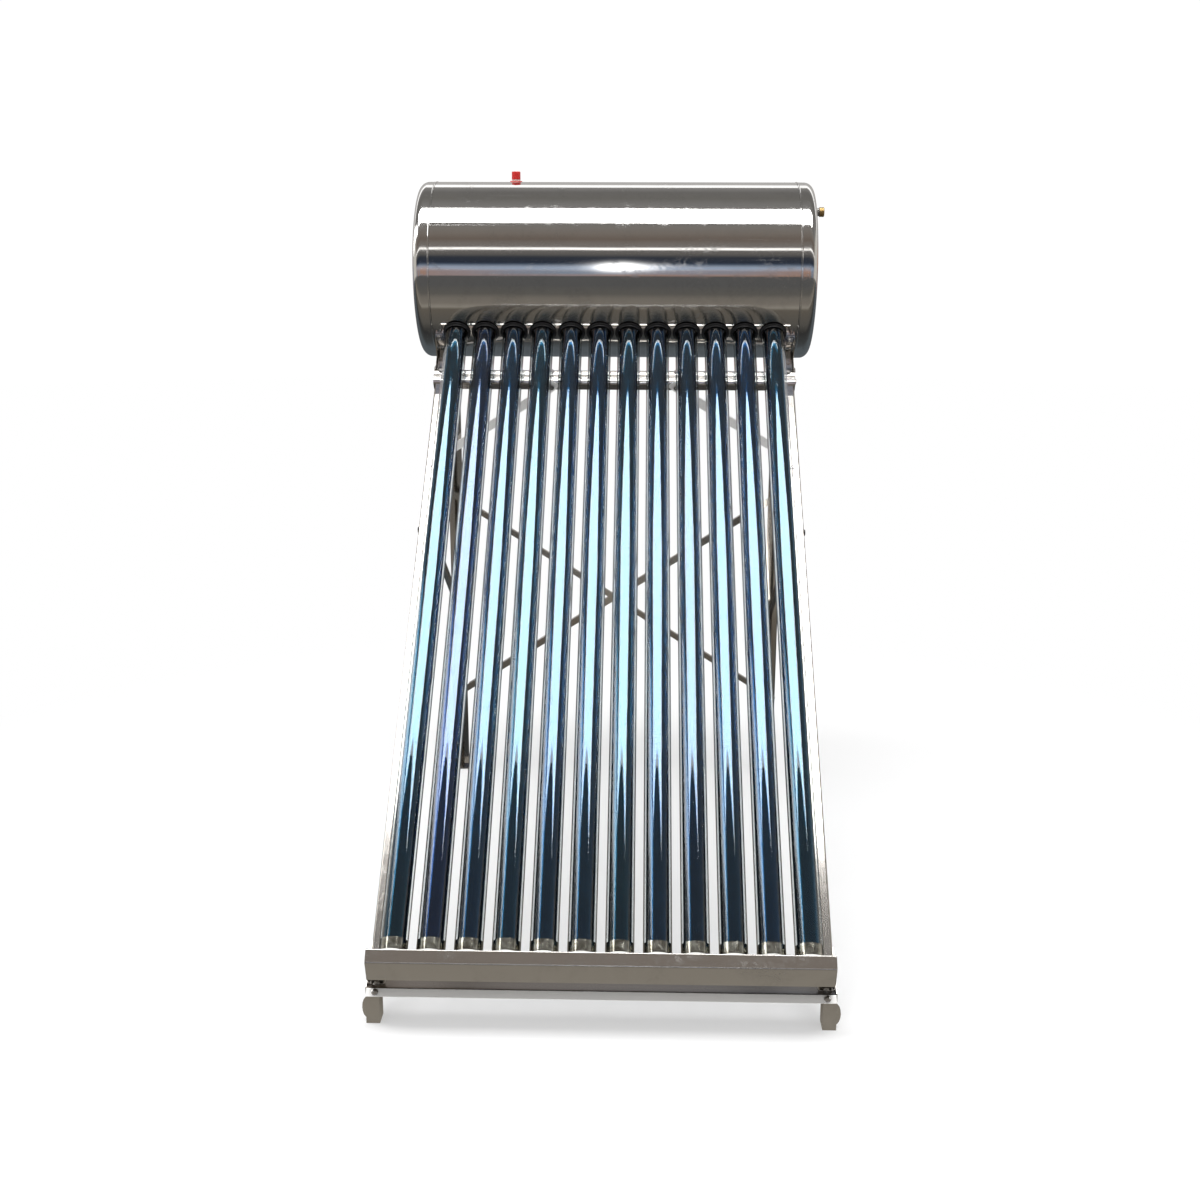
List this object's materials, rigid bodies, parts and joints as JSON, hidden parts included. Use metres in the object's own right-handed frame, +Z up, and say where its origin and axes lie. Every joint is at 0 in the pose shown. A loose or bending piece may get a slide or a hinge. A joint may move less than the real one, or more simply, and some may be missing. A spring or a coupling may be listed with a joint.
{
  "type": "evacuated-tube thermosiphon solar water heater",
  "caption": "Solar water heater: a horizontal polished steel tank on a tilted steel stand, with a row of evacuated glass tubes that run from the tank down to a folded tray.",
  "frame": {"origin": "on the floor, under the middle of the whole outline", "axes": "+X to the viewer's right along the tank, +Y from the tube side towards the rear legs, +Z up"},
  "size_m": [1.0686, 1.7444, 1.703],
  "materials": {
    "clear_glass": "clear, fire polished",
    "absorber_coating": "dark blue selective coating on glass",
    "black_rubber": "matte",
    "polished_steel": "mirror polished stainless steel",
    "inner_steel": "plain rolled stainless steel",
    "foam": "rigid polyurethane foam",
    "red_plastic": "moulded, ribbed",
    "brass": "turned, slightly tarnished",
    "stand_steel": "bright rolled stainless sheet, folded"
  },
  "bodies": {
    "stand_and_tank": {"dust_ring_01": "black_rubber", "dust_ring_02": "black_rubber", "dust_ring_03": "black_rubber", "dust_ring_04": "black_rubber", "dust_ring_05": "black_rubber", "dust_ring_06": "black_rubber", "dust_ring_07": "black_rubber", "dust_ring_08": "black_rubber", "dust_ring_09": "black_rubber", "dust_ring_10": "black_rubber", "dust_ring_11": "black_rubber", "dust_ring_12": "black_rubber", "inner_tank": "inner_steel", "tank_insulation": "foam", "tank_shell": "polished_steel", "end_cap_left": "polished_steel", "end_cap_right": "polished_steel", "front_rail_left": "stand_steel", "front_rail_right": "stand_steel", "rear_leg_left": "stand_steel", "rear_leg_right": "stand_steel", "tank_cradle_left": "stand_steel", "tank_cradle_right": "stand_steel", "corner_brace_left": "stand_steel", "corner_brace_right": "stand_steel", "side_brace_left": "stand_steel", "side_brace_right": "stand_steel", "front_foot_left": "stand_steel", "front_foot_right": "stand_steel", "upper_cross_member": "stand_steel", "rear_diagonal_brace_front": "stand_steel", "rear_diagonal_brace_back": "stand_steel", "tube_tail_tray": "stand_steel", "lower_cross_bar": "stand_steel"},
    "tube_01": {"outer_glass_tube_01": "clear_glass", "absorber_tube_01": "absorber_coating"},
    "tube_02": {"outer_glass_tube_02": "clear_glass", "absorber_tube_02": "absorber_coating"},
    "tube_03": {"outer_glass_tube_03": "clear_glass", "absorber_tube_03": "absorber_coating"},
    "tube_04": {"outer_glass_tube_04": "clear_glass", "absorber_tube_04": "absorber_coating"},
    "tube_05": {"outer_glass_tube_05": "clear_glass", "absorber_tube_05": "absorber_coating"},
    "tube_06": {"outer_glass_tube_06": "clear_glass", "absorber_tube_06": "absorber_coating"},
    "tube_07": {"outer_glass_tube_07": "clear_glass", "absorber_tube_07": "absorber_coating"},
    "tube_08": {"outer_glass_tube_08": "clear_glass", "absorber_tube_08": "absorber_coating"},
    "tube_09": {"outer_glass_tube_09": "clear_glass", "absorber_tube_09": "absorber_coating"},
    "tube_10": {"outer_glass_tube_10": "clear_glass", "absorber_tube_10": "absorber_coating"},
    "tube_11": {"outer_glass_tube_11": "clear_glass", "absorber_tube_11": "absorber_coating"},
    "tube_12": {"outer_glass_tube_12": "clear_glass", "absorber_tube_12": "absorber_coating"},
    "vent_cap": {"red_vent_cap": "red_plastic"},
    "port_cap": {"brass_port_cap": "brass"}
  },
  "joints": [
    {"name": "tube_01_push_up", "type": "slide", "parent": "stand_and_tank", "child": "tube_01", "axis": [0, 0.7431, 0.6691], "range_m": [0, 0.04]},
    {"name": "tube_02_push_up", "type": "slide", "parent": "stand_and_tank", "child": "tube_02", "axis": [0, 0.7431, 0.6691], "range_m": [0, 0.04]},
    {"name": "tube_03_push_up", "type": "slide", "parent": "stand_and_tank", "child": "tube_03", "axis": [0, 0.7431, 0.6691], "range_m": [0, 0.04]},
    {"name": "tube_04_push_up", "type": "slide", "parent": "stand_and_tank", "child": "tube_04", "axis": [0, 0.7431, 0.6691], "range_m": [0, 0.04]},
    {"name": "tube_05_push_up", "type": "slide", "parent": "stand_and_tank", "child": "tube_05", "axis": [0, 0.7431, 0.6691], "range_m": [0, 0.04]},
    {"name": "tube_06_push_up", "type": "slide", "parent": "stand_and_tank", "child": "tube_06", "axis": [0, 0.7431, 0.6691], "range_m": [0, 0.04]},
    {"name": "tube_07_push_up", "type": "slide", "parent": "stand_and_tank", "child": "tube_07", "axis": [0, 0.7431, 0.6691], "range_m": [0, 0.04]},
    {"name": "tube_08_push_up", "type": "slide", "parent": "stand_and_tank", "child": "tube_08", "axis": [0, 0.7431, 0.6691], "range_m": [0, 0.04]},
    {"name": "tube_09_push_up", "type": "slide", "parent": "stand_and_tank", "child": "tube_09", "axis": [0, 0.7431, 0.6691], "range_m": [0, 0.04]},
    {"name": "tube_10_push_up", "type": "slide", "parent": "stand_and_tank", "child": "tube_10", "axis": [0, 0.7431, 0.6691], "range_m": [0, 0.04]},
    {"name": "tube_11_push_up", "type": "slide", "parent": "stand_and_tank", "child": "tube_11", "axis": [0, 0.7431, 0.6691], "range_m": [0, 0.04]},
    {"name": "tube_12_push_up", "type": "slide", "parent": "stand_and_tank", "child": "tube_12", "axis": [0, 0.7431, 0.6691], "range_m": [0, 0.04]},
    {"name": "vent_cap_lift_off", "type": "slide", "parent": "stand_and_tank", "child": "vent_cap", "axis": [0, 0, 1], "range_m": [0, 0.04]},
    {"name": "port_cap_pull_off", "type": "slide", "parent": "stand_and_tank", "child": "port_cap", "axis": [1, 0, 0], "range_m": [0, 0.04]}
  ]
}
